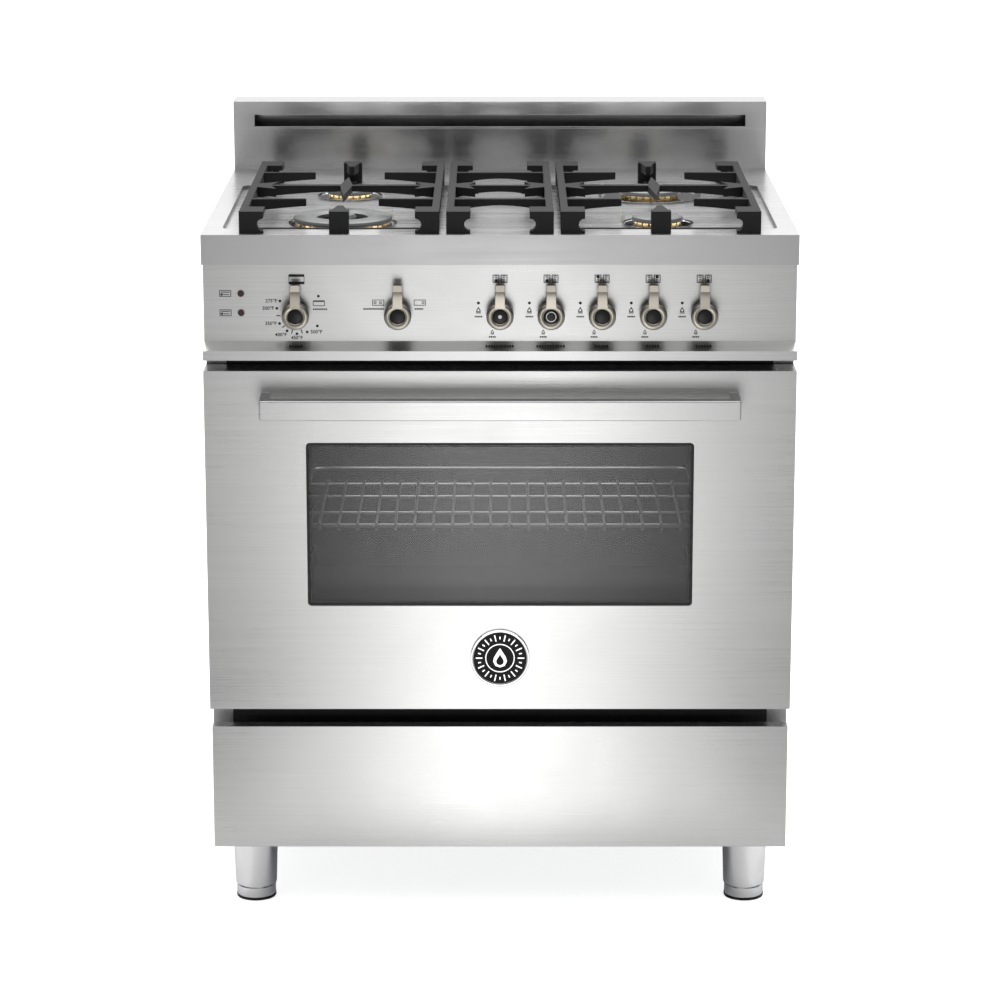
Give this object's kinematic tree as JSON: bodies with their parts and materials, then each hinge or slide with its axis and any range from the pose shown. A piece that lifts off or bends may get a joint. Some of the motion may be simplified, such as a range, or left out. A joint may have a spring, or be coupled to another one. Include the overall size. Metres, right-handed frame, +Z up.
{
  "type": "freestanding gas range",
  "caption": "Stainless-steel freestanding gas range with hob burners, cast pan supports, drop-down oven door, storage drawer and adjustable legs.",
  "frame": {"origin": "on the floor, below the centre of the overall box", "axes": "+Z up, +X to the right seen from the front, the front faces -Y"},
  "size_m": [0.759, 0.715, 1.007],
  "materials": {
    "stainless_brushed": "brushed stainless steel",
    "stainless_polished": "polished stainless steel",
    "galvanised": "galvanised sheet",
    "enamel_dark": "black oven enamel",
    "paint_black": "satin black paint",
    "cast_iron": "matt black enamelled cast iron",
    "brass": "machined brass",
    "cap_enamel": "grey-black enamel",
    "chrome": "bright chrome",
    "glass_smoked": "smoked heat-resistant glass",
    "knob_metal": "warm satin metal",
    "badge_black": "black enamel with a bright ring",
    "insulation": "mineral wool",
    "seal": "woven heat seal",
    "ceramic": "white ceramic",
    "lamp_red": "dark tinted lens",
    "switch_plastic": "pale moulded plastic",
    "steel_plain": "plain zinc-plated steel"
  },
  "bodies": {
    "chassis": {"base_tray": "galvanised", "side_panel_left": "stainless_brushed", "side_panel_right": "stainless_brushed", "rear_cover": "galvanised", "cooktop": "stainless_polished", "control_panel": "stainless_brushed", "backguard": "stainless_polished", "oven_liner": "enamel_dark", "oven_insulation": "insulation", "oven_front_frame": "paint_black", "door_gasket": "seal", "rack_guides": "chrome", "oven_burners": "steel_plain", "oven_floor_plate": "enamel_dark", "fan_cover": "enamel_dark", "fan_motor": "steel_plain", "oven_lamp": "ceramic", "gas_manifold": "brass", "gas_valves": "brass", "function_switch": "switch_plastic", "burner_bases": "stainless_polished", "burner_heads": "brass", "burner_caps": "cap_enamel", "spark_electrodes": "ceramic", "indicator_lamps": "lamp_red", "leg_sleeves": "chrome", "hinge_receivers": "steel_plain", "drawer_runners": "galvanised", "cover_screws": "steel_plain"},
    "door": {"door_skin": "stainless_brushed", "door_inner_panel": "enamel_dark", "door_glass": "glass_smoked", "door_handle": "stainless_brushed", "handle_brackets": "stainless_brushed", "door_badge": "badge_black", "hinge_brackets": "steel_plain"},
    "drawer": {"drawer_front": "stainless_brushed", "drawer_box": "galvanised"},
    "left_grate": {"grate_left": "cast_iron"},
    "centre_grate": {"grate_centre": "cast_iron"},
    "right_grate": {"grate_right": "cast_iron"},
    "rack": {"oven_rack": "chrome"},
    "fan": {"fan_blade": "steel_plain"},
    "foot_front_left": {"foot_front_left": "chrome"},
    "foot_front_right": {"foot_front_right": "chrome"},
    "foot_rear_left": {"foot_rear_left": "chrome"},
    "foot_rear_right": {"foot_rear_right": "chrome"},
    "stem_thermostat": {"stem_thermostat": "steel_plain"},
    "stem_wok_inner": {"stem_wok_inner": "steel_plain"},
    "stem_wok_outer": {"stem_wok_outer": "steel_plain"},
    "stem_rear_left": {"stem_rear_left": "steel_plain"},
    "stem_rear_right": {"stem_rear_right": "steel_plain"},
    "stem_front_right": {"stem_front_right": "steel_plain"},
    "knob_thermostat": {"knob_thermostat": "knob_metal"},
    "knob_function": {"knob_function": "knob_metal"},
    "knob_wok_inner": {"knob_wok_inner": "knob_metal"},
    "knob_wok_outer": {"knob_wok_outer": "knob_metal"},
    "knob_rear_left": {"knob_rear_left": "knob_metal"},
    "knob_rear_right": {"knob_rear_right": "knob_metal"},
    "knob_front_right": {"knob_front_right": "knob_metal"}
  },
  "joints": [
    {"name": "door_hinge", "type": "hinge", "parent": "chassis", "child": "door", "pos_m": [0, -0.2695, 0.296], "axis": [1, 0, 0], "range_deg": [0, 90], "stiffness_Nm_per_rad": 8, "springref_deg": -42.97},
    {"name": "drawer_slide", "type": "slide", "parent": "chassis", "child": "drawer", "axis": [0, -1, 0], "range_m": [0, 0.3]},
    {"name": "rack_slide", "type": "slide", "parent": "chassis", "child": "rack", "axis": [0, -1, 0], "range_m": [0, 0.2514]},
    {"name": "fan_spin", "type": "hinge", "parent": "chassis", "child": "fan", "pos_m": [0, 0.183, 0.5275], "axis": [0, 1, 0], "continuous": true},
    {"name": "grate_left_lift", "type": "slide", "parent": "chassis", "child": "left_grate", "axis": [0, 0, 1], "range_m": [0, 0.12]},
    {"name": "grate_centre_lift", "type": "slide", "parent": "chassis", "child": "centre_grate", "axis": [0, 0, 1], "range_m": [0, 0.12]},
    {"name": "grate_right_lift", "type": "slide", "parent": "chassis", "child": "right_grate", "axis": [0, 0, 1], "range_m": [0, 0.12]},
    {"name": "foot_front_left_screw", "type": "slide", "parent": "chassis", "child": "foot_front_left", "axis": [0, 0, -1], "range_m": [0, 0.045]},
    {"name": "foot_front_right_screw", "type": "slide", "parent": "chassis", "child": "foot_front_right", "axis": [0, 0, -1], "range_m": [0, 0.045]},
    {"name": "foot_rear_left_screw", "type": "slide", "parent": "chassis", "child": "foot_rear_left", "axis": [0, 0, -1], "range_m": [0, 0.045]},
    {"name": "foot_rear_right_screw", "type": "slide", "parent": "chassis", "child": "foot_rear_right", "axis": [0, 0, -1], "range_m": [0, 0.045]},
    {"name": "push_thermostat", "type": "slide", "parent": "chassis", "child": "stem_thermostat", "axis": [0, 1, 0], "range_m": [0, 0.003], "stiffness_N_per_m": 1500, "springref_m": -0.002},
    {"name": "push_wok_inner", "type": "slide", "parent": "chassis", "child": "stem_wok_inner", "axis": [0, 1, 0], "range_m": [0, 0.003], "stiffness_N_per_m": 1500, "springref_m": -0.002},
    {"name": "push_wok_outer", "type": "slide", "parent": "chassis", "child": "stem_wok_outer", "axis": [0, 1, 0], "range_m": [0, 0.003], "stiffness_N_per_m": 1500, "springref_m": -0.002},
    {"name": "push_rear_left", "type": "slide", "parent": "chassis", "child": "stem_rear_left", "axis": [0, 1, 0], "range_m": [0, 0.003], "stiffness_N_per_m": 1500, "springref_m": -0.002},
    {"name": "push_rear_right", "type": "slide", "parent": "chassis", "child": "stem_rear_right", "axis": [0, 1, 0], "range_m": [0, 0.003], "stiffness_N_per_m": 1500, "springref_m": -0.002},
    {"name": "push_front_right", "type": "slide", "parent": "chassis", "child": "stem_front_right", "axis": [0, 1, 0], "range_m": [0, 0.003], "stiffness_N_per_m": 1500, "springref_m": -0.002},
    {"name": "turn_thermostat", "type": "hinge", "parent": "stem_thermostat", "child": "knob_thermostat", "pos_m": [-0.2608, -0.3005, 0.805], "axis": [0, -1, 0], "range_deg": [0, 313]},
    {"name": "turn_function", "type": "hinge", "parent": "chassis", "child": "knob_function", "pos_m": [-0.1304, -0.3005, 0.805], "axis": [0, -1, 0], "range_deg": [-55, 55]},
    {"name": "turn_wok_inner", "type": "hinge", "parent": "stem_wok_inner", "child": "knob_wok_inner", "pos_m": [0, -0.3005, 0.805], "axis": [0, -1, 0], "range_deg": [0, 170]},
    {"name": "turn_wok_outer", "type": "hinge", "parent": "stem_wok_outer", "child": "knob_wok_outer", "pos_m": [0.0652, -0.3005, 0.805], "axis": [0, -1, 0], "range_deg": [0, 170]},
    {"name": "turn_rear_left", "type": "hinge", "parent": "stem_rear_left", "child": "knob_rear_left", "pos_m": [0.1304, -0.3005, 0.805], "axis": [0, -1, 0], "range_deg": [0, 170]},
    {"name": "turn_rear_right", "type": "hinge", "parent": "stem_rear_right", "child": "knob_rear_right", "pos_m": [0.1956, -0.3005, 0.805], "axis": [0, -1, 0], "range_deg": [0, 170]},
    {"name": "turn_front_right", "type": "hinge", "parent": "stem_front_right", "child": "knob_front_right", "pos_m": [0.2608, -0.3005, 0.805], "axis": [0, -1, 0], "range_deg": [0, 170]}
  ],
  "couplings": [
    {"joint": "rack_slide", "follows": "door_hinge", "m_per_rad": 0.16}
  ]
}
